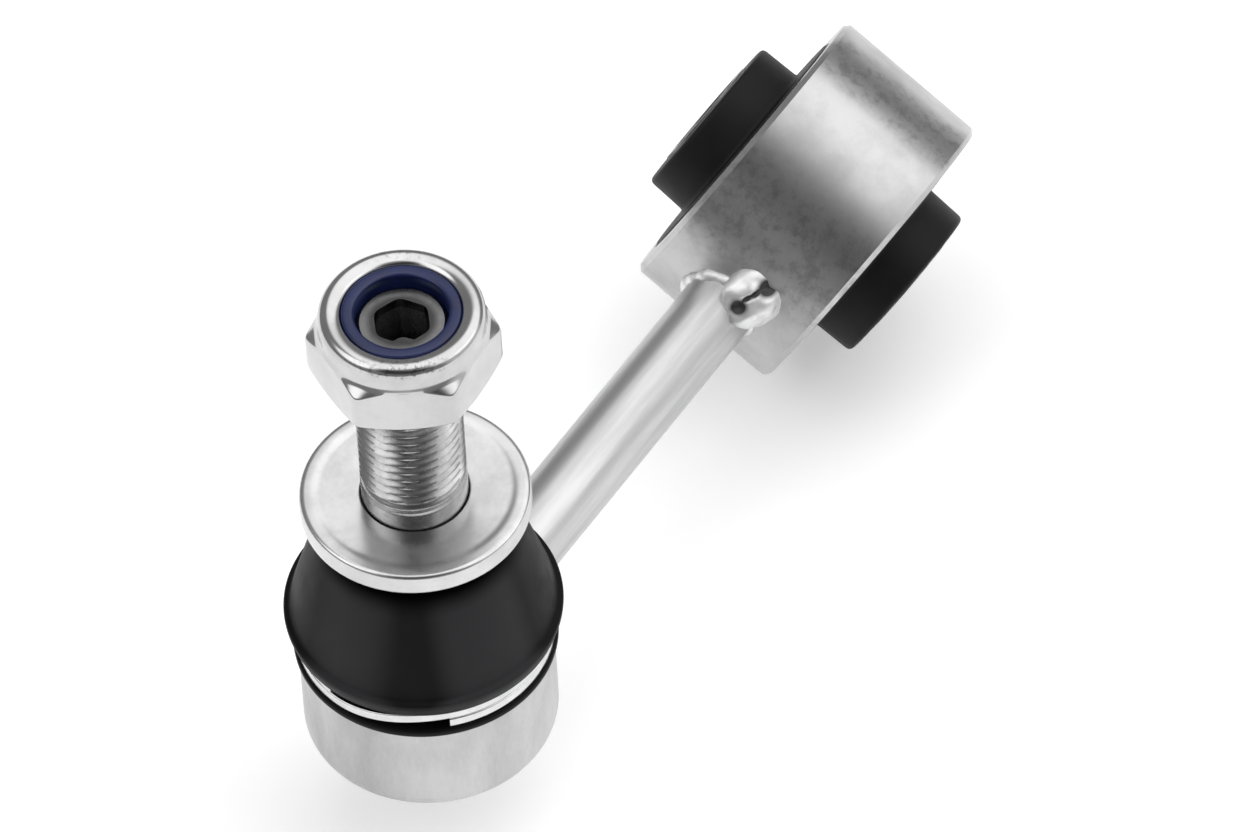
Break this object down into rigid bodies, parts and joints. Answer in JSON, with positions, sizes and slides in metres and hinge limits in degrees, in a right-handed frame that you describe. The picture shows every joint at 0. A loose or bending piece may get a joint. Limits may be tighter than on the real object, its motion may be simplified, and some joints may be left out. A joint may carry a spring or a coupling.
{
  "type": "stabilizer link",
  "caption": "Short anti-roll bar link: ball joint with threaded stud, lock nut and rubber boot at one end, straight rod, rubber bush in a welded eye at the other.",
  "frame": {"origin": "on the stud's axis, on the upper face of the seat washer, where the anti-roll bar's eye clamps", "axes": "+Z along the stud towards its threaded end, +X along the rod from the ball joint to the eye"},
  "size_m": [0.1151, 0.0364, 0.0821],
  "materials": {
    "zinc_housing": "satin zinc plating",
    "seat_plastic": "moulded acetal",
    "stud_steel": "rolled thread, dull zinc plating",
    "zinc_washer": "satin zinc plating",
    "boot_rubber": "satin moulded rubber",
    "ring_steel": "bright steel",
    "nut_zinc": "bright zinc plating",
    "nylon_blue": "moulded nylon",
    "zinc_rod": "zinc plating over drawn bar",
    "zinc_eye": "mottled zinc plating",
    "weld_steel": "plated weld bead",
    "bush_rubber": "matt moulded rubber"
  },
  "bodies": {
    "link": {"housing": "zinc_housing", "end_cap": "zinc_housing", "ball_seat": "seat_plastic", "link_rod": "zinc_rod", "bush_eye": "zinc_eye", "eye_weld": "weld_steel", "housing_weld": "weld_steel", "bush_rubber": "bush_rubber"},
    "boot": {"dust_boot": "boot_rubber", "boot_clamp_ring": "ring_steel"},
    "boot_collar": {"boot_collar_ring": "ring_steel"},
    "stud": {"ball_stud": "stud_steel", "seat_washer": "zinc_washer"},
    "nut_insert": {"nylon_insert": "nylon_blue"},
    "nut": {"lock_nut": "nut_zinc"},
    "sleeve": {"bush_sleeve": "ring_steel"}
  },
  "joints": [
    {"name": "lean_direction", "type": "hinge", "parent": "link", "child": "boot", "pos_m": [0, 0, -0.0251], "axis": [0, 0, 1], "continuous": true},
    {"name": "stud_lean", "type": "hinge", "parent": "boot", "child": "boot_collar", "pos_m": [0, 0, -0.0251], "axis": [0, 1, 0], "range_deg": [-25, 25], "deforming": ["dust_boot"]},
    {"name": "stud_spin", "type": "hinge", "parent": "boot_collar", "child": "stud", "pos_m": [0, 0, -0.0251], "axis": [0, 0, 1], "continuous": true},
    {"name": "nut_travel", "type": "slide", "parent": "stud", "child": "nut_insert", "axis": [0, 0, 1], "range_m": [-0.0209, 0.01]},
    {"name": "nut_turn", "type": "hinge", "parent": "nut_insert", "child": "nut", "pos_m": [0, 0, 0.025], "axis": [0, 0, 1], "range_deg": [-6025, 2885]},
    {"name": "bush_twist", "type": "hinge", "parent": "link", "child": "sleeve", "pos_m": [0.0805, 0, -0.0305], "axis": [0, 0.8829, 0.4695], "range_deg": [-20, 20], "stiffness_Nm_per_rad": 6}
  ],
  "couplings": [
    {"joint": "nut_turn", "follows": "nut_travel", "rad_per_m": 5026.5}
  ]
}
